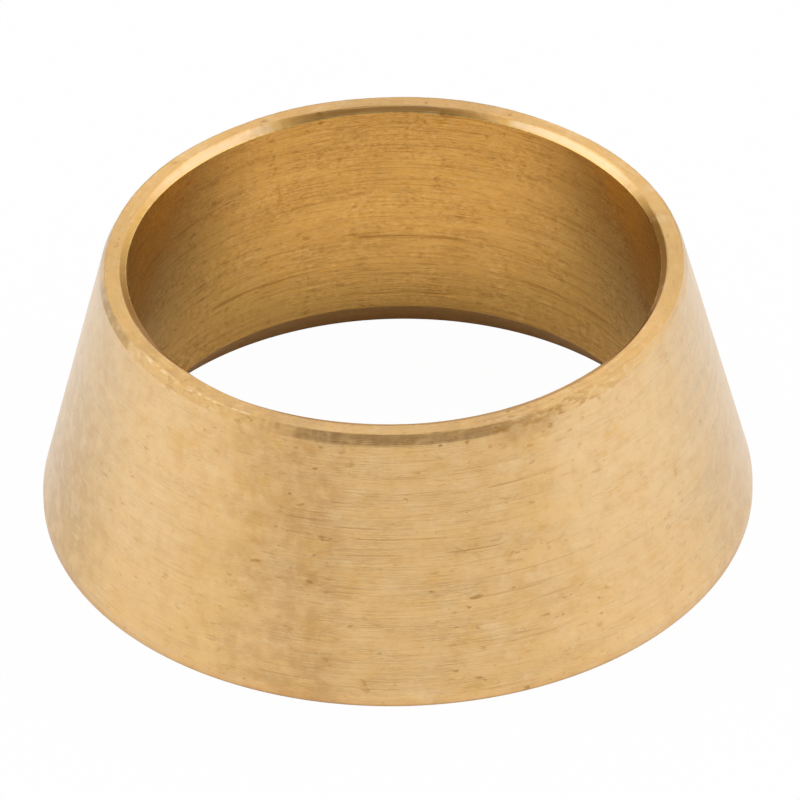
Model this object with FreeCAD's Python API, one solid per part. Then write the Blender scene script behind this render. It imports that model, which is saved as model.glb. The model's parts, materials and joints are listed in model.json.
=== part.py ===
import FreeCAD, Part
import math
import os

# Compression olive for a 15 mm tube: one ring of soft brass, turned from bar. It slides over the tube, and a
# nut presses on its wide end and drives the long cone into the seat of a fitting, which closes it on the tube.
# Sizes are in millimetres and degrees. The ring stands on its wide end. The origin is the centre of that
# face, and +Z runs up the axis of the bore.

# Driving dimensions: the bore
TUBE_DIAMETER = 15.0
TUBE_CLEARANCE = 0.1           # how much wider the bore is than the tube
LEAD_IN_DEPTH = 1.1            # the countersink that the tube enters by, at the wide end
LEAD_IN_HALF_ANGLE = 39.0
BORE_EDGE_WIDTH = 0.24         # the shallow bevel round the bore at the small end, across the face
BORE_EDGE_DEPTH = 0.08         # and down the bore

# Driving dimensions: the outside
LENGTH = 8.05
CONE_HALF_ANGLE = 13.9
SMALL_FACE_WIDTH = 0.4         # the flat ring at the small end, between its two bevels
SMALL_EDGE_WIDTH = 0.12        # the steep bevel where the cone meets the small end, across the face
SMALL_EDGE_DEPTH = 0.24        # and down the cone
LAND_HEIGHT = 0.45             # the short straight band round the wide end, below the cone
WIDE_EDGE_ROUND = 0.15         # the soft corner under that band


def turned_section():
    """The face that is turned about the axis to make the ring: half of its section, to the right of the axis."""
    bore = (TUBE_DIAMETER + TUBE_CLEARANCE) / 2
    lead_in_mouth = bore + LEAD_IN_DEPTH * math.tan(math.radians(LEAD_IN_HALF_ANGLE))
    small_face_inside = bore + BORE_EDGE_WIDTH
    small_face_outside = small_face_inside + SMALL_FACE_WIDTH
    cone_top = LENGTH - SMALL_EDGE_DEPTH
    cone_top_radius = small_face_outside + SMALL_EDGE_WIDTH
    wide_radius = cone_top_radius + (cone_top - LAND_HEIGHT) * math.tan(math.radians(CONE_HALF_ANGLE))

    def point(radius, height):
        return FreeCAD.Vector(radius, 0, height)

    # From the soft corner's end on the wide face, in along that face, up the bore, over the small end and
    # down the cone and the band to the soft corner's start.
    corners = [
        point(wide_radius - WIDE_EDGE_ROUND, 0),
        point(lead_in_mouth, 0),
        point(bore, LEAD_IN_DEPTH),
        point(bore, LENGTH - BORE_EDGE_DEPTH),
        point(small_face_inside, LENGTH),
        point(small_face_outside, LENGTH),
        point(cone_top_radius, cone_top),
        point(wide_radius, LAND_HEIGHT),
        point(wide_radius, WIDE_EDGE_ROUND),
    ]
    edges = [Part.LineSegment(start, end).toShape() for start, end in zip(corners, corners[1:])]
    arc_reach = WIDE_EDGE_ROUND * math.sin(math.radians(45))
    arc_middle = point(wide_radius - WIDE_EDGE_ROUND + arc_reach, WIDE_EDGE_ROUND - arc_reach)
    edges.append(Part.Arc(corners[-1], arc_middle, corners[0]).toShape())
    return Part.Face(Part.Wire(edges))


def olive():
    """The ring: its section turned once round the axis."""
    axis_foot = FreeCAD.Vector(0, 0, 0)
    axis = FreeCAD.Vector(0, 0, 1)
    return turned_section().revolve(axis_foot, axis, 360)


os.makedirs("parts", exist_ok=True)
olive().exportStep("parts/compression_olive.step")
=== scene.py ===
import json
import math

import bpy
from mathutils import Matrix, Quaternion, Vector, noise


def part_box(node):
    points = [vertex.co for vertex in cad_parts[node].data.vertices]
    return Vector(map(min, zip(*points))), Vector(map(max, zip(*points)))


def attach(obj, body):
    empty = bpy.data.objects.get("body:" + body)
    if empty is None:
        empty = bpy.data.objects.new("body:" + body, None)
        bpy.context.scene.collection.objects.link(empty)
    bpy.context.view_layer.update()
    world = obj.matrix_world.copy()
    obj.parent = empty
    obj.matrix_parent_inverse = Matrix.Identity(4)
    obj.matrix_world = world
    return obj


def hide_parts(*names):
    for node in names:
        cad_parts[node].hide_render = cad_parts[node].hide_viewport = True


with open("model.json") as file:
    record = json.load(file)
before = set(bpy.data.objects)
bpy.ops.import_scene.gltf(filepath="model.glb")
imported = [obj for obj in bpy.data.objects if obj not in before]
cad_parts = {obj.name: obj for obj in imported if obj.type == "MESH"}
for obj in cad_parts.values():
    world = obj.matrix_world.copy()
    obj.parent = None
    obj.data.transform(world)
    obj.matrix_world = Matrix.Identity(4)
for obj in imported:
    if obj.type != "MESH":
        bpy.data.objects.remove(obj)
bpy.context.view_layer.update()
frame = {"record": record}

# A compression olive of turned brass, stood on its wide end on a pale floor. Lengths are in metres. Where a
# place round the ring is given in degrees, the front is at -90, the right at 0, the back at 90 and the left
# at 180, which is also -180.
MM = 0.001
NODE = "compression_olive"

# The ring's sizes: the main ones come from the frame, the small ones are those of the same section.
low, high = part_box(NODE)
bore_mount = next(mount for mount in frame["record"]["mounts"] if mount["name"] == "bore")
bore_middle = bore_mount["pos_m"][2]
bore_half_length = bore_mount["dims"]["length_mm"] * MM / 2
LENGTH = high.z - low.z
WIDE_RADIUS = max(high.x, high.y)
BORE_RADIUS = bore_mount["dims"]["r_mm"] * MM
LEAD_IN_DEPTH = bore_middle - bore_half_length
LEAD_IN_HALF_ANGLE = math.radians(39)
BORE_EDGE_WIDTH = 0.24 * MM
BORE_EDGE_DEPTH = LENGTH - bore_middle - bore_half_length
SMALL_FACE_WIDTH = 0.4 * MM
SMALL_EDGE_WIDTH = 0.12 * MM
SMALL_EDGE_DEPTH = 0.24 * MM
LAND_HEIGHT = 0.45 * MM
WIDE_ROUND = 0.15 * MM
FACE_EDGE = BORE_RADIUS + BORE_EDGE_WIDTH + SMALL_FACE_WIDTH
CONE_TOP_RADIUS = FACE_EDGE + SMALL_EDGE_WIDTH
CONE_SLOPE = (WIDE_RADIUS - CONE_TOP_RADIUS) / (LENGTH - SMALL_EDGE_DEPTH - LAND_HEIGHT)

# How fine the ring's mesh is
STEPS_ROUND = 1200
ARC_STEPS = 3
FOOT_ARC_STEPS = 6
SUPPORT = 0.03 * MM            # rows this near an edge keep its shading out of the faces beside it
MOST_SUPPORT = 0.3             # and they are never further in than this share of a run

# The colours of the plain brass
CONE_BRASS = (0.82, 0.517, 0.207, 1)
FRONT_FACE_BRASS = (0.8, 0.487, 0.167, 1)
SIDE_FACE_BRASS = (0.765, 0.45, 0.138, 1)
BACK_FACE_BRASS = (0.74, 0.42, 0.125, 1)
BORE_BRASS = (0.83, 0.572, 0.2, 1)

# The colours of its patches, bands and grain, and of a painted pale sheen
GREY_SIDE_TONE = (0.6, 0.475, 0.29, 1)
PAINTED_PALE_SHEEN = (0.86, 0.62, 0.34, 1)
WARM_PATCH = (0.76, 0.42, 0.11, 1)
PALE_PATCH = (0.88, 0.62, 0.33, 1)
DARK_PATCH = (0.56, 0.28, 0.06, 1)
BORE_LINE = (0.45, 0.23, 0.045, 1)
BAND = (0.35, 0.19, 0.05, 1)
AMBER = (0.86, 0.53, 0.12, 1)
BROWN = (0.5, 0.29, 0.08, 1)
DARK_GRAIN = (0.48, 0.27, 0.065, 1)
LIGHT_GRAIN = (0.97, 0.72, 0.33, 1)

# The colours of its stains and dirt, and of the painted shade and dark reflections among them
STAIN_AND_DARK_REFLECTION = (0.45, 0.21, 0.05, 1)
CONE_DIRT_AND_SHADE = (0.5, 0.28, 0.055, 1)
LOW_LEFT_TONE = (0.68, 0.39, 0.08, 1)
BORE_LOW_RIGHT_DARK = (0.36, 0.17, 0.03, 1)
LEAD_IN_SHADE = (0.42, 0.2, 0, 1)
CRUST = (0.36, 0.18, 0.035, 1)
BEVEL_DARK_REFLECTION = (0.33, 0.15, 0.024, 1)
FRONT_GRIME_AND_REFLECTION = (0.36, 0.175, 0.045, 1)
LEFT_DARK_REFLECTION = (0.4, 0.2, 0.02, 1)
FACE_GRIME = (0.45, 0.25, 0.08, 1)
BACK_EDGE = (0.4, 0.22, 0.08, 1)
FOOT_SHADE = (0.36, 0.18, 0.05, 1)

# The colours of its wear and marks, and of the painted highlights and dark reflections on the bevel and the
# face's edge
SCRAPED_HIGHLIGHT_DIM = (0.75, 0.52, 0.27, 1)
SCRAPED_HIGHLIGHT_BRIGHT = (0.84, 0.6, 0.35, 1)
SCRAPED_HIGHLIGHT_LEFT = (0.66, 0.42, 0.22, 1)
DULL_REFLECTION_DARK = (0.5, 0.26, 0.075, 1)
DULL_REFLECTION_LIGHT = (0.62, 0.34, 0.115, 1)
NICK_HIGHLIGHT = (0.98, 0.8, 0.5, 1)
CHEWED_EDGE = (0.62, 0.34, 0.075, 1)
CONE_FLECK = (0.95, 0.71, 0.38, 1)
BORE_FLECK = (0.96, 0.7, 0.32, 1)
CONE_MARK = (0.46, 0.225, 0.05, 1)
BORE_MARK = (0.42, 0.23, 0.055, 1)

# How the brass takes the light
CONE_ROUGHNESS = 0.31
BORE_ROUGHNESS = 0.24
BRUSHED = 0.7                  # how much the turning lines stretch the highlights
ACROSS_LINES = 0.25            # the quarter turn that stretches them across the lines
FILM = 0.8                     # a soft film over the outside
FILM_ROUGHNESS = 0.4
LINE_RELIEF = 0.05 * MM

# The camera, set so that the ring lies in the picture as it does in the photograph
CAMERA_ELEVATION = math.radians(36.286)
CAMERA_ROLL = math.radians(-1.0835)
CAMERA_DISTANCE = 398.22 * MM
CAMERA_AIM = Vector((0.1073, 0, 3.2731)) * MM
LENS = 630                     # millimetres, for a sensor 36 wide
SENSOR = 36

# The studio: how bright each part of the light is, where 1 is white
LOW_FRONT_LIGHT = 1.0
HIGH_FRONT_LIGHT = 0.55
SIDE_LIGHT = 1.08
LEFT_GAP_LIGHT = 0.4
RIGHT_GAP_LIGHT = 0.8
BACK_LIGHT = 1.0
PANEL_LIGHT = 1.75
TOP_LIGHT = 0.1
WHITE = (1, 1, 1, 1)

# Between which heights its parts fade into each other, as sines of the elevation
FRONT_DIMS = (0.02, 0.25)
GAPS_RISE = (0.2, 0.4)
PANELS_RISE = (0.63, 0.69)
TOP_RISE = (0.922, 0.94)

# And between which places round the ring, from -1 at the camera's side to 1 straight behind it
SIDES_START = (-0.82, -0.5)
PANELS_START = (0.3, 0.5)
GAPS_START = (0.55, 0.8)
BACK_START = (0.93, 0.97)
LEFT_TO_RIGHT = (-0.1, 0.1)    # across the picture, where the left gap's light gives way to the right one's
SMALLEST_REACH = 0.001         # keeps a direction straight up from dividing by nothing

# The floor
FLOOR_HALF = 3
FLOOR_COLOUR = (0.9, 0.9, 0.9, 1)
FLOOR_GLOW = 0.98              # how much of the floor is white light where it is seen
MIRRORED_GLOW = 1.0            # and where the metal shows it, outside the ring
INSIDE_GLOW = 0.87             # and where the metal shows it, in the middle of the ring
INSIDE_SHAPE = (0.5, 1, 1)     # the glow inside the ring is twice as wide as it is deep
INSIDE_FULL = 0.22 * BORE_RADIUS  # that glow is full up to here from the middle
INSIDE_END = 0.9 * BORE_RADIUS    # and it has faded out here
RING_FOOT_SOFT = 0.5 * MM      # how softly the glow changes under the ring's foot
BORE_TINT = (1, 0.765, 0.565, 1)  # the brass warms the light inside the ring


def ragged(angle, lobes, seed):
    """A smooth uneven value from -1 to 1 that closes on itself round the ring, with about so many lobes."""
    reach = lobes / math.tau
    return noise.noise(Vector((reach * math.cos(angle), reach * math.sin(angle), seed)))


def swell(angle, middle, half):
    """1 at one angle, given in degrees, falling smoothly to 0 at so many degrees to either side of it."""
    turn = (math.degrees(angle) - middle + 180) % 360 - 180
    share = max(0, 1 - abs(turn) / half)
    return share * share * (3 - 2 * share)


def bore_edge_at(angle):
    """The width and depth of the bore's bevel at one angle.

    It is wider at the back, where it was scraped, and narrow and steep at the front left and front right.
    """
    back = swell(angle, 90, 140)
    left = swell(angle, 193, 30)
    scraped = swell(angle, 126, 34) + swell(angle, 47, 34)
    steep = swell(angle, -134, 34) + swell(angle, -26, 22)
    uneven = 0.03 * ragged(angle, 20, 1) + 0.004 * ragged(angle, 240, 2)
    wider = -0.05 + 0.06 * back + 0.05 * left + 0.07 * scraped - 0.055 * steep + uneven
    width = BORE_EDGE_WIDTH + wider * MM
    deeper = 0.03 * swell(angle, 128, 34) + 0.1 * steep
    depth = BORE_EDGE_DEPTH * width / BORE_EDGE_WIDTH + deeper * MM
    return width, depth


def outer_edge_at(angle):
    """The radius where the outer bevel starts and its depth at one angle. It is wider at the front."""
    front = swell(angle, -97, 46)
    back = swell(angle, 90, 120)
    uneven = 0.05 * ragged(angle, 14, 3) + 0.01 * ragged(angle, 300, 4)
    start = FACE_EDGE + (0.02 * back - 0.05 * front + uneven) * MM
    depth = SMALL_EDGE_DEPTH + 0.05 * front * MM
    return start, depth


def rounded(before, corner, after, radius, steps):
    """Points of the arc that takes the place of a corner between two straight runs."""
    to_before = (before - corner).normalized()
    to_after = (after - corner).normalized()
    half = to_before.angle(to_after) / 2
    centre = corner + (to_before + to_after).normalized() * radius / math.sin(half)
    start = corner + to_before * radius / math.tan(half) - centre
    end = corner + to_after * radius / math.tan(half) - centre
    turn = -start.angle_signed(end)
    across = Vector((-start.y, start.x))
    points = []
    for step in range(steps + 1):
        angle = turn * step / steps
        points.append(centre + start * math.cos(angle) + across * math.sin(angle))
    return points


def section(angle):
    """The ring's section at one angle: points of radius and height, once round from the wide face."""
    mouth = BORE_RADIUS + LEAD_IN_DEPTH * math.tan(LEAD_IN_HALF_ANGLE)
    bevel, bevel_depth = bore_edge_at(angle)
    face_outside, outer_depth = outer_edge_at(angle)
    cone_top_radius = CONE_TOP_RADIUS + (outer_depth - SMALL_EDGE_DEPTH) * CONE_SLOPE
    # Each corner has its radius, its height, the radius of its rounding and the rows on the run that follows
    corners = [
        (mouth, 0, 0.03 * MM, 1),
        (BORE_RADIUS, LEAD_IN_DEPTH, 0.05 * MM, 4),
        (BORE_RADIUS, LENGTH - bevel_depth, 0.02 * MM, 0),
        (BORE_RADIUS + bevel, LENGTH, 0.05 * MM, 1),
        (face_outside, LENGTH, 0.025 * MM, 0),
        (cone_top_radius, LENGTH - outer_depth, 0.1 * MM, 6),
        (WIDE_RADIUS, LAND_HEIGHT, 0.5 * MM, 0),
        (WIDE_RADIUS, 0, WIDE_ROUND, 1),
    ]
    places = [Vector((radius, height)) for radius, height, _, _ in corners]
    count = len(corners)
    arcs = []
    for index, (_, _, rounding, _) in enumerate(corners):
        steps = FOOT_ARC_STEPS if rounding == WIDE_ROUND else ARC_STEPS
        arcs.append(rounded(places[index - 1], places[index], places[(index + 1) % count], rounding, steps))
    points = []
    for index, arc in enumerate(arcs):
        points += arc
        start = arc[-1]
        run = arcs[(index + 1) % count][0] - start
        support = min(SUPPORT / run.length, MOST_SUPPORT)
        rows = corners[index][3]
        shares = [support] + [support + (1 - 2 * support) * row / (rows + 1) for row in range(1, rows + 1)]
        points += [start + run * share for share in shares + [1 - support]]
    return points


def ring():
    """The olive as one closed mesh, turned from its section."""
    angles = [math.tau * step / STEPS_ROUND for step in range(STEPS_ROUND)]
    vertices = []
    for angle in angles:
        for radius, height in section(angle):
            vertices.append((radius * math.cos(angle), radius * math.sin(angle), height))
    rows = len(vertices) // STEPS_ROUND
    faces = []
    for step in range(STEPS_ROUND):
        here = step * rows
        there = (step + 1) % STEPS_ROUND * rows
        for row in range(rows):
            after = (row + 1) % rows
            faces.append((here + row, here + after, there + after, there + row))
    mesh = bpy.data.meshes.new("olive_ring")
    mesh.from_pydata(vertices, [], faces)
    mesh.flip_normals()
    mesh.shade_smooth()
    piece = bpy.data.objects.new("olive_ring", mesh)
    bpy.context.scene.collection.objects.link(piece)
    return piece


class Tree:
    """Short calls that add nodes to one node tree. An input is a number, a colour or a node's output."""

    def __init__(self, owner):
        owner.use_nodes = True
        self.nodes = owner.node_tree.nodes
        self.links = owner.node_tree.links

    def put(self, socket, value):
        if isinstance(value, bpy.types.NodeSocket):
            self.links.new(value, socket)
        else:
            socket.default_value = value

    def fill(self, node, inputs):
        for name, value in inputs.items():
            self.put(node.inputs[name], value)
        return node

    def add(self, kind, inputs, **settings):
        node = self.nodes.new("ShaderNode" + kind)
        for name, value in settings.items():
            setattr(node, name, value)
        return self.fill(node, inputs)

    def math(self, operation, first, second=0.0):
        return self.add("Math", {0: first, 1: second}, operation=operation).outputs[0]

    def times(self, first, *others):
        for other in others:
            first = self.math("MULTIPLY", first, other)
        return first

    def plus(self, first, *others):
        for other in others:
            first = self.math("ADD", first, other)
        return first

    def most(self, first, *others):
        for other in others:
            first = self.math("MAXIMUM", first, other)
        return first

    def length(self, x, y):
        return self.math("SQRT", self.plus(self.times(x, x), self.times(y, y)))

    def ramp(self, value, low, high, at_low=0.0, at_high=1.0):
        """value taken smoothly from at_low, where it is low or less, to at_high, where it is high or more."""
        inputs = {"Value": value, "From Min": low, "From Max": high, "To Min": at_low, "To Max": at_high}
        return self.add("MapRange", inputs, interpolation_type="SMOOTHSTEP").outputs[0]

    def mix(self, share, first, second):
        node = self.add("Mix", {}, data_type="RGBA")
        # A mix node has inputs of the same name for each kind of value: these are its share and two colours
        self.put(node.inputs[0], share)
        self.put(node.inputs[6], first)
        self.put(node.inputs[7], second)
        return node.outputs[2]


class Brass:
    """The brass as it is painted: places on the ring, its regions, shared marks and the colour so far."""

    def __init__(self, tree):
        self.tree = tree
        here = tree.add("TexCoord", {}).outputs["Object"]
        x, y, self.height = tree.add("SeparateXYZ", {0: here}).outputs
        self.radius = tree.length(x, y)
        self.angle = tree.math("ARCTAN2", y, x)
        self.east = tree.math("DIVIDE", x, self.radius)
        self.north = tree.math("DIVIDE", y, self.radius)
        self.sideways = tree.math("ABSOLUTE", self.east)
        self.from_back = tree.math("ARCCOSINE", self.north)
        self.across = tree.math("DIVIDE", tree.math("SUBTRACT", self.height, self.radius), MM)
        self.colour = CONE_BRASS
        self.find_regions()
        self.find_lathe_marks()

    def find_regions(self):
        """Masks that are 1 on one region of the ring and 0 elsewhere."""
        tree = self.tree
        bore = tree.ramp(self.radius, BORE_RADIUS + 0.01 * MM, BORE_RADIUS + 0.05 * MM, 1, 0)
        mouth = tree.times(tree.ramp(self.radius, BORE_RADIUS + LEAD_IN_DEPTH, WIDE_RADIUS - 0.5 * MM, 1, 0),
                           tree.ramp(self.height, LEAD_IN_DEPTH, 2 * LEAD_IN_DEPTH, 1, 0))
        self.inside = tree.most(bore, mouth)
        self.outside = tree.ramp(self.inside, 0, 1, 1, 0)
        bevels_foot = LENGTH - SMALL_EDGE_DEPTH
        self.rim = tree.ramp(self.height, bevels_foot - 0.04 * MM, bevels_foot)
        off_face = tree.times(self.rim, tree.ramp(self.height, LENGTH - 0.02 * MM, LENGTH - 0.005 * MM, 1, 0))
        rim_outside = tree.ramp(self.radius, BORE_RADIUS + 0.45 * MM, BORE_RADIUS + 0.5 * MM)
        self.rim_inside = tree.ramp(rim_outside, 0, 1, 1, 0)
        self.outer_bevel = tree.times(off_face, rim_outside)
        self.bore_bevel = tree.times(off_face, self.outside, self.rim_inside)
        self.face = tree.math("SUBTRACT", self.rim, self.outer_bevel)
        self.cone = tree.times(self.outside, tree.ramp(self.face, 0, 1, 1, 0))

    def find_lathe_marks(self):
        """What several layers share: fine lines that come and go, a mottling, and clusters in the bore."""
        tree = self.tree
        come_and_go = tree.ramp(self.noise(5, 1.6, 210, 2), 0.35, 0.65, 0.4, 1)
        self.lines = tree.times(tree.plus(self.noise(4, 7, 0, 4, 0.75), -0.5), come_and_go)
        self.mottle = self.noise(20, 2, 180, 3, 0.65)
        self.uneven = tree.ramp(self.mottle, 0.3, 0.6, 0.35, 1)
        clusters = tree.ramp(self.noise(5, 0.9, 630, 2), 0.4, 0.6, 0.4, 1.2)
        self.bore_clusters = tree.times(clusters, self.inside)

    def noise(self, round_scale, across_scale, seed, detail, roughness=0.5):
        """Noise along the lathe's path: so many features a radian round it and a millimetre across it.

        The seed only moves it to another place, so that no two layers have the same pattern.
        """
        tree = self.tree
        shifted = tree.plus(tree.times(self.across, across_scale), seed)
        place = tree.add("CombineXYZ", {
            "X": tree.times(self.east, round_scale),
            "Y": tree.times(self.north, round_scale),
            "Z": shifted,
        }).outputs[0]
        inputs = {"Vector": place, "Scale": 1.0, "Detail": detail, "Roughness": roughness}
        return tree.add("TexNoise", inputs).outputs[0]

    def stretch(self, start, end, soft_start, soft_end, wavering=0.0):
        """1 between two angles round the ring, in degrees, with so many degrees of fade centred on each."""
        tree = self.tree
        around = tree.plus(self.angle, wavering)
        first = tree.ramp(around, math.radians(start - soft_start / 2), math.radians(start + soft_start / 2))
        last = tree.ramp(around, math.radians(end - soft_end / 2), math.radians(end + soft_end / 2), 1, 0)
        return tree.times(first, last)

    def by_height(self, low, high, at_low=0.0, at_high=1.0):
        """A value that changes smoothly between two heights, given in millimetres."""
        return self.tree.ramp(self.height, low * MM, high * MM, at_low, at_high)

    def by_turn(self, near, far, at_near=0.0, at_far=1.0):
        """A value that changes smoothly between two angles from the back of the ring, in degrees."""
        return self.tree.ramp(self.from_back, math.radians(near), math.radians(far), at_near, at_far)

    def paint(self, where, strength, colour):
        """Lays a colour over the colour so far, as strongly as the mask and the strength say together."""
        self.colour = self.tree.mix(self.tree.times(where, strength), self.colour, colour)


def plain_brass(brass):
    """The plain colour of each region. The thin face at the small end is deeper at the sides and the back."""
    tree = brass.tree
    face_colour = tree.mix(tree.ramp(brass.north, 0.3, 0.9), FRONT_FACE_BRASS, BACK_FACE_BRASS)
    face_colour = tree.mix(tree.ramp(brass.sideways, 0.3, 0.7), face_colour, SIDE_FACE_BRASS)
    brass.paint(brass.face, 1.0, face_colour)
    brass.paint(brass.inside, 1.0, BORE_BRASS)


def patches(brass):
    """The uneven tone: greyer at both sides of the cone, a painted pale sheen beside them, and patches all
    over.
    """
    tree = brass.tree
    grey_sides = tree.times(tree.ramp(brass.sideways, 0.8, 0.99), brass.cone, brass.by_height(0, 5, 0.45, 1))
    banding = tree.ramp(brass.noise(1.5, 5, 570, 3), 0.35, 0.65, 0.3, 1.6)
    brass.paint(tree.times(grey_sides, banding), 0.4, GREY_SIDE_TONE)
    # A painted pale sheen beside both sides of the cone, stronger at the right
    wider_right = tree.most(brass.sideways, tree.plus(brass.east, 0.12))
    sheen = tree.times(tree.ramp(wider_right, 0.5, 0.75), tree.ramp(brass.sideways, 0.82, 0.95, 1, 0.5))
    sheen = tree.times(sheen, brass.cone, brass.by_height(1, 5, 0.45, 1))
    sheen = tree.times(sheen, tree.ramp(brass.rim, 0, 1, 1, 0.4))
    brass.paint(sheen, tree.ramp(brass.east, -0.3, 0.3, 0.36, 0.46), PAINTED_PALE_SHEEN)
    tint = brass.noise(8, 1, 60, 4, 0.75)
    patchy = tree.times(tree.ramp(brass.inside, 0, 1, 1, 0.2), tree.ramp(brass.sideways, 0.3, 0.7, 1, 0.85))
    brass.paint(tree.times(tree.ramp(tint, 0.5, 0.72), patchy), 0.6, WARM_PATCH)
    brass.paint(tree.times(tree.ramp(tint, 0.28, 0.5, 1, 0), patchy), 0.5, PALE_PATCH)
    brass.paint(tree.times(tree.ramp(brass.mottle, 0.45, 0.75), patchy), 0.25, DARK_PATCH)


def turning_bands(brass):
    """The tone of the lathe's path: narrow dark lines in the bore, and broad bands all over."""
    tree = brass.tree
    bore_lines = tree.ramp(brass.noise(2.2, 14, 250, 3, 0.7), 0.3, 0.52, 1, 0)
    brass.paint(tree.times(bore_lines, brass.inside), 0.45, BORE_LINE)
    bands = tree.ramp(brass.noise(1.2, 1.5, 20, 3, 0.6), 0.3, 0.6, 1, 0)
    brass.paint(bands, tree.ramp(brass.inside, 0, 1, 0.08, 0.06), BAND)


def cone_stains_and_shade(brass):
    """A stain with a painted dark reflection down the front of the cone, dirt and painted shade at its sides,
    a warm tone low at the left, and a smudge.
    """
    tree = brass.tree
    # The stain and its painted dark reflection have a soft left side and a sharp, uneven right side
    wavering = tree.plus(tree.times(tree.plus(brass.mottle, -0.5), 0.12), tree.times(brass.lines, 0.2))
    stain_and_reflection = brass.stretch(-121, -100, 30, 4, wavering)
    brass.paint(tree.times(stain_and_reflection, brass.cone, brass.uneven), 0.32, STAIN_AND_DARK_REFLECTION)
    # Dirt with painted shade: the sides are darker low down and more at the left, where they mirror the
    # shadowed floor
    dirt_and_shade = tree.times(tree.ramp(brass.sideways, 0.8, 0.98), brass.by_height(1, 7, 1, 0.2))
    dirt_and_shade = tree.times(dirt_and_shade, tree.ramp(brass.east, -0.5, 0.5, 1, 0.4))
    brass.paint(tree.times(dirt_and_shade, brass.cone, brass.uneven), 0.85, CONE_DIRT_AND_SHADE)
    low_left = tree.times(tree.ramp(brass.east, -0.9, -0.4, 1, 0), brass.by_height(0.5, 4.5, 1, 0))
    brass.paint(tree.times(low_left, brass.cone), 0.16, LOW_LEFT_TONE)
    # The smudge is under the rim, at the right of the front
    smudge = tree.times(brass.by_height(7.2, 7.7), brass.stretch(-71, -57, 6, 8))
    brass.paint(tree.times(smudge, brass.cone, brass.uneven), 0.42, STAIN_AND_DARK_REFLECTION)


def bore_crust_and_shade(brass):
    """Darker low at the right of the bore, painted shade on the lead-in, and a crust above it at the left."""
    tree = brass.tree
    low_right = tree.times(brass.by_height(1.5, 5, 1, 0), brass.stretch(10, 100, 20, 40))
    brass.paint(tree.times(low_right, brass.inside), 0.16, BORE_LOW_RIGHT_DARK)
    # Painted shade on the lead-in, the bevel at the foot of the bore that faces down to the floor
    lead_in_shade = tree.ramp(brass.height, LEAD_IN_DEPTH - 0.1 * MM, LEAD_IN_DEPTH + 0.05 * MM, 1, 0)
    brass.paint(tree.times(lead_in_shade, brass.inside), 0.42, LEAD_IN_SHADE)
    crust = tree.times(brass.by_height(1.2, 2.4, 1, 0), brass.stretch(134, 160, 14, 14))
    crumbs = tree.ramp(brass.noise(18, 6, 540, 3), 0.48, 0.6)
    brass.paint(tree.times(crust, crumbs, brass.inside), 0.4, CRUST)


def bore_edge_wear_and_reflections(brass):
    """The bore's bevel: painted highlights on two scraped stretches at the back, a painted dark reflection
    between them, and painted dark reflections at the sides.
    """
    tree = brass.tree
    fine_lines = tree.ramp(brass.noise(2, 30, 470, 2), 0.35, 0.65)
    # Painted highlights on the two scraped stretches, where the bevel mirrors the bright panels behind the
    # ring
    scraped = tree.times(brass.by_turn(25, 28), brass.by_turn(54, 70, 1, 0))
    scraped_highlight_colour = tree.mix(fine_lines, SCRAPED_HIGHLIGHT_DIM, SCRAPED_HIGHLIGHT_BRIGHT)
    scraped_highlight_colour = tree.mix(tree.ramp(brass.east, -0.3, 0.3, 0.5, 0), scraped_highlight_colour, SCRAPED_HIGHLIGHT_LEFT)
    brass.paint(scraped, brass.bore_bevel, scraped_highlight_colour)
    # A painted dark reflection between the scraped stretches, straight at the back
    dull_reflection = brass.by_turn(14, 26, 1, 0)
    brass.paint(dull_reflection, brass.bore_bevel, tree.mix(fine_lines, DULL_REFLECTION_DARK, DULL_REFLECTION_LIGHT))
    # Painted dark reflections at the sides of the bevel, fading towards the front
    dark_reflection_at_sides = tree.ramp(brass.east, -0.1, 0.1, brass.by_turn(74, 104), brass.by_turn(63, 78))
    dark_reflection_at_sides = tree.times(dark_reflection_at_sides, brass.by_turn(112, 130, 1, 0.3))
    # The painted dark reflection goes over the bevel's lower edge, onto the top of the bore
    bore_top = tree.ramp(brass.height, LENGTH - 0.13 * MM, LENGTH - 0.1 * MM)
    bore_top = tree.times(bore_top, brass.rim_inside, brass.inside)
    brass.paint(dark_reflection_at_sides, tree.plus(brass.bore_bevel, bore_top), BEVEL_DARK_REFLECTION)


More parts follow.
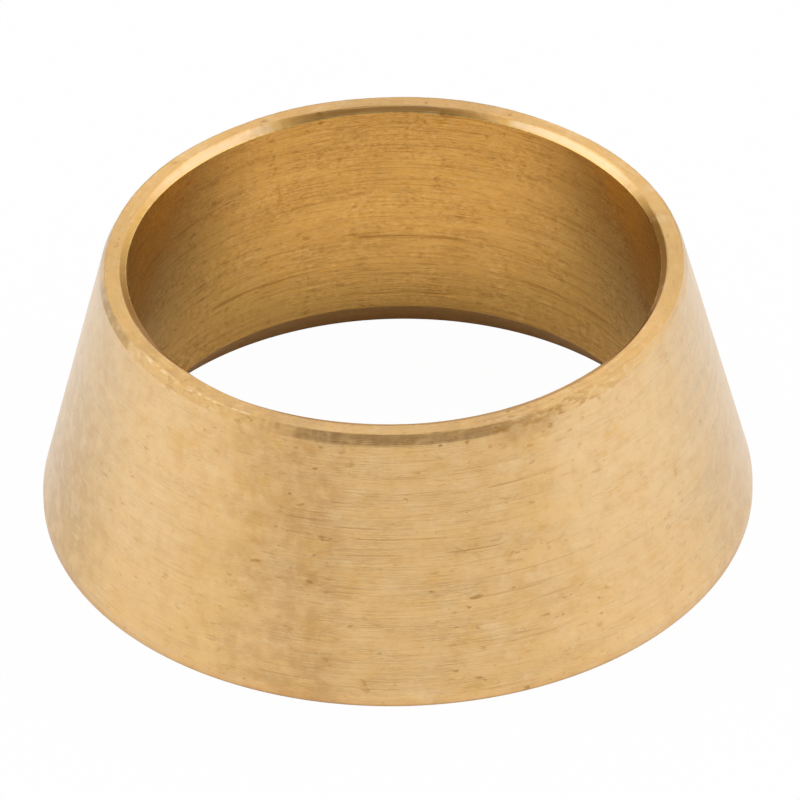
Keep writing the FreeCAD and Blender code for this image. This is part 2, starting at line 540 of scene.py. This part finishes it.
def edge_grime_and_shade(brass):
    """Grime and painted dark reflections on the outer bevel, grime on the face, a dark edge at the back,
    painted shade at the foot, and a painted highlight on nicks at the front left.
    """
    tree = brass.tree
    bevel = tree.times(brass.outer_bevel, brass.uneven)
    # Grime with a painted dark reflection at the front of the outer bevel
    brass.paint(tree.times(brass.stretch(-110, -67, 1.5, 5), bevel), 0.61, FRONT_GRIME_AND_REFLECTION)
    # A painted dark reflection at the left of the outer bevel
    brass.paint(tree.times(brass.stretch(-178, -155, 6, 1.5), bevel), 0.75, LEFT_DARK_REFLECTION)
    face_left = brass.stretch(-156, -106, 20, 14)
    face_right = tree.times(brass.stretch(-78, -32, 12, 20), 0.7)
    brass.paint(tree.times(tree.most(face_left, face_right), brass.face, brass.uneven), 0.42, FACE_GRIME)
    edge = tree.times(tree.ramp(brass.radius, FACE_EDGE - 0.04 * MM, FACE_EDGE), brass.rim)
    brass.paint(tree.times(edge, tree.ramp(brass.north, -0.1, 0.2)), 0.45, BACK_EDGE)
    # A painted highlight along the face's outer edge at the front left, broken into nicks
    near_edge = tree.ramp(brass.radius, FACE_EDGE - 0.12 * MM, FACE_EDGE - 0.06 * MM)
    nick_highlights = tree.times(brass.stretch(-150, -119, 2, 2), tree.ramp(brass.mottle, 0.44, 0.58))
    brass.paint(tree.times(near_edge, brass.face, nick_highlights), 0.6, NICK_HIGHLIGHT)
    # Painted shade along the foot, where the ring meets the floor
    foot_shade = tree.times(brass.outside, brass.by_height(0.02, 0.14, 1, 0))
    brass.paint(foot_shade, 0.45, FOOT_SHADE)


def bore_grain(brass):
    """The bore's fine texture: amber and brown patches, and a dark and light grain in clusters."""
    tree = brass.tree
    amber = brass.noise(12, 4, 500, 5, 0.75)
    brass.paint(tree.times(tree.ramp(amber, 0.5, 0.7), brass.inside), 0.5, AMBER)
    brass.paint(tree.times(tree.ramp(amber, 0.3, 0.48, 1, 0), brass.inside), 0.28, BROWN)
    grain = brass.noise(45, 7, 600, 3, 0.7)
    brass.paint(tree.times(tree.ramp(grain, 0.3, 0.5, 1, 0), brass.bore_clusters), 0.4, DARK_GRAIN)
    brass.paint(tree.times(tree.ramp(grain, 0.5, 0.7), brass.bore_clusters), 0.4, LIGHT_GRAIN)


def small_marks(brass):
    """Bright flecks, dashes, scratches and pits, with more of them on the worn edge at the front."""
    tree = brass.tree
    chewed = tree.times(brass.rim, tree.ramp(brass.radius, FACE_EDGE - 0.16 * MM, FACE_EDGE - 0.1 * MM))
    chewed = tree.times(chewed, tree.most(brass.stretch(-70, -34, 8, 14), brass.stretch(-158, -118, 10, 6)))
    brass.paint(chewed, 0.3, CHEWED_EDGE)
    worn = tree.times(brass.by_height(6.8, 7.7), brass.stretch(-70, -44, 10, 14))
    more = tree.plus(tree.times(worn, 0.07), tree.times(brass.inside, 0.02), tree.times(chewed, 0.09))
    flecks = tree.ramp(tree.plus(brass.noise(22, 6, 330, 2), more), 0.6, 0.75)
    fleck_strength = tree.most(tree.ramp(brass.inside, 0, 1, 0.2, 0.4), tree.times(chewed, 0.24))
    brass.paint(flecks, fleck_strength, tree.mix(brass.inside, CONE_FLECK, BORE_FLECK))
    dashes = tree.ramp(brass.noise(11, 6, 40, 3), 0.62, 0.76)
    threads = tree.ramp(brass.noise(0.8, 8, 90, 1), 0.62, 0.73)
    breaks = tree.ramp(brass.noise(5, 5, 120, 2), 0.45, 0.6)
    central = tree.most(brass.inside, tree.ramp(brass.sideways, 0.2, 0.6, 1, 0.3))
    scratches = tree.times(threads, breaks, central)
    pits = tree.ramp(tree.plus(brass.noise(24, 5, 150, 3), more), 0.625, 0.73)
    pits = tree.times(pits, tree.ramp(brass.noise(4, 0.8, 240, 1), 0.4, 0.6, 0.5, 1))
    pit_strength = tree.ramp(brass.inside, 0, 1, 0.8, 0.5)
    bore_dashes = tree.times(tree.ramp(brass.noise(11, 9, 440, 4, 0.75), 0.55, 0.7), brass.bore_clusters)
    marks = tree.most(tree.times(dashes, 0.35), tree.times(scratches, 0.58), tree.times(pits, pit_strength),
                      tree.times(bore_dashes, 0.5))
    busy = tree.most(brass.inside, tree.ramp(brass.sideways, 0.35, 0.75, 1.1, 0.6))
    brass.paint(marks, busy, tree.mix(brass.inside, CONE_MARK, BORE_MARK))


def turned_brass():
    """Brass as it comes off the lathe, with its wear and dirt, and painted sheen, highlights, shade and dark
    reflections, laid over it in turn.
    """
    material = bpy.data.materials.new("turned_brass")
    tree = Tree(material)
    brass = Brass(tree)
    plain_brass(brass)
    patches(brass)
    turning_bands(brass)
    cone_stains_and_shade(brass)
    bore_crust_and_shade(brass)
    bore_edge_wear_and_reflections(brass)
    edge_grime_and_shade(brass)
    bore_grain(brass)
    small_marks(brass)
    # The lines stand out less in the bore, and not at all on its bevel
    share = tree.math("SUBTRACT", tree.ramp(brass.inside, 0, 1, 1, 0.5), brass.bore_bevel)
    relief = tree.times(brass.lines, share)
    bump = tree.add("Bump", {"Strength": 1.0, "Distance": LINE_RELIEF, "Height": relief})
    tree.fill(tree.nodes["Principled BSDF"], {
        "Metallic": 1.0,
        "Base Color": brass.colour,
        "Roughness": tree.ramp(brass.inside, 0, 1, CONE_ROUGHNESS, BORE_ROUGHNESS),
        "Anisotropic": BRUSHED,
        "Anisotropic Rotation": ACROSS_LINES,
        "Coat Weight": tree.times(tree.math("SUBTRACT", brass.outside, brass.bore_bevel), FILM),
        "Coat Roughness": FILM_ROUGHNESS,
        "Normal": bump.outputs[0],
        "Tangent": tree.add("Tangent", {}, direction_type="RADIAL", axis="Z").outputs[0],
    })
    return material


def camera():
    """The camera at the photograph's viewing angle."""
    data = bpy.data.cameras.new("camera")
    data.sensor_width = SENSOR
    data.lens = LENS
    view = bpy.data.objects.new("camera", data)
    back = Vector((0, -math.cos(CAMERA_ELEVATION), math.sin(CAMERA_ELEVATION)))
    view.rotation_mode = "QUATERNION"
    view.rotation_quaternion = (-back).to_track_quat("-Z", "Y") @ Quaternion((0, 0, 1), CAMERA_ROLL)
    view.location = CAMERA_AIM + back * CAMERA_DISTANCE
    bpy.context.scene.collection.objects.link(view)
    bpy.context.scene.camera = view


def pale_paper():
    """The floor's material: nearly all white light where it is seen, or shown by the metal, and else paper.

    Inside the ring, what the metal shows of it is warmed by the brass, and fades out towards the wall.
    """
    material = bpy.data.materials.new("floor")
    tree = Tree(material)
    tree.nodes.clear()
    path = tree.add("LightPath", {}).outputs
    place = tree.add("TexCoord", {}).outputs["Object"]
    reach = tree.add("VectorMath", {0: place}, operation="LENGTH").outputs["Value"]
    shaped = tree.add("VectorMath", {0: place, 1: INSIDE_SHAPE}, operation="MULTIPLY").outputs[0]
    inner_reach = tree.add("VectorMath", {0: shaped}, operation="LENGTH").outputs["Value"]
    inside_glow = tree.ramp(inner_reach, INSIDE_FULL, INSIDE_END, INSIDE_GLOW, 0)
    outside = tree.ramp(reach, WIDE_RADIUS - RING_FOOT_SOFT, WIDE_RADIUS + RING_FOOT_SOFT)
    in_metal = tree.most(path["Is Glossy Ray"], path["Is Transmission Ray"])
    mirrored = tree.times(in_metal, tree.ramp(outside, 0, 1, inside_glow, MIRRORED_GLOW))
    glow = tree.most(tree.times(path["Is Camera Ray"], FLOOR_GLOW), mirrored)
    in_bore = tree.times(in_metal, tree.math("SUBTRACT", 1.0, outside))
    paper = tree.add("BsdfDiffuse", {"Color": FLOOR_COLOUR}).outputs[0]
    light = tree.add("Emission", {"Color": tree.mix(in_bore, WHITE, BORE_TINT), "Strength": 1.0}).outputs[0]
    mixed = tree.add("MixShader", {0: glow, 1: paper, 2: light}).outputs[0]
    tree.add("OutputMaterial", {"Surface": mixed})
    return material


def floor():
    """A wide pale floor, which isn't part of the object."""
    mesh = bpy.data.meshes.new("floor")
    corners = [(-FLOOR_HALF, -FLOOR_HALF, 0), (FLOOR_HALF, -FLOOR_HALF, 0),
               (FLOOR_HALF, FLOOR_HALF, 0), (-FLOOR_HALF, FLOOR_HALF, 0)]
    mesh.from_pydata(corners, [], [(0, 1, 2, 3)])
    mesh.materials.append(pale_paper())
    piece = bpy.data.objects.new("floor", mesh)
    bpy.context.scene.collection.objects.link(piece)


def studio():
    """Soft light from all round: white at the horizon, dimmer high up in front, and dark overhead.

    Beyond the ring, to the left and right, bright panels hang high up, with a dimmer gap under each.
    """
    world = bpy.data.worlds.new("studio")
    tree = Tree(world)
    x, y, up = tree.add("SeparateXYZ", {0: tree.add("TexCoord", {}).outputs["Generated"]}).outputs
    # How far round a direction lies, from -1 at the camera's side to 1 straight behind the ring
    rear = tree.math("DIVIDE", y, tree.most(tree.length(x, y), SMALLEST_REACH))
    front = tree.ramp(up, *FRONT_DIMS, LOW_FRONT_LIGHT, HIGH_FRONT_LIGHT)
    around = tree.ramp(rear, *SIDES_START, front, SIDE_LIGHT)
    gap = tree.ramp(x, *LEFT_TO_RIGHT, LEFT_GAP_LIGHT, RIGHT_GAP_LIGHT)
    gap = tree.ramp(up, *GAPS_RISE, SIDE_LIGHT, gap)
    lower = tree.ramp(rear, *BACK_START, tree.ramp(rear, *GAPS_START, around, gap), BACK_LIGHT)
    upper = tree.ramp(rear, *BACK_START, tree.ramp(rear, *PANELS_START, around, PANEL_LIGHT), BACK_LIGHT)
    light = tree.ramp(up, *TOP_RISE, tree.ramp(up, *PANELS_RISE, lower, upper), TOP_LIGHT)
    tree.fill(tree.nodes["Background"], {"Color": WHITE, "Strength": light})
    bpy.context.scene.world = world


piece = ring()
piece.data.materials.append(turned_brass())
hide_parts(NODE)
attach(piece, "root")
camera()
floor()
studio()
bpy.context.scene.view_settings.view_transform = "Standard"
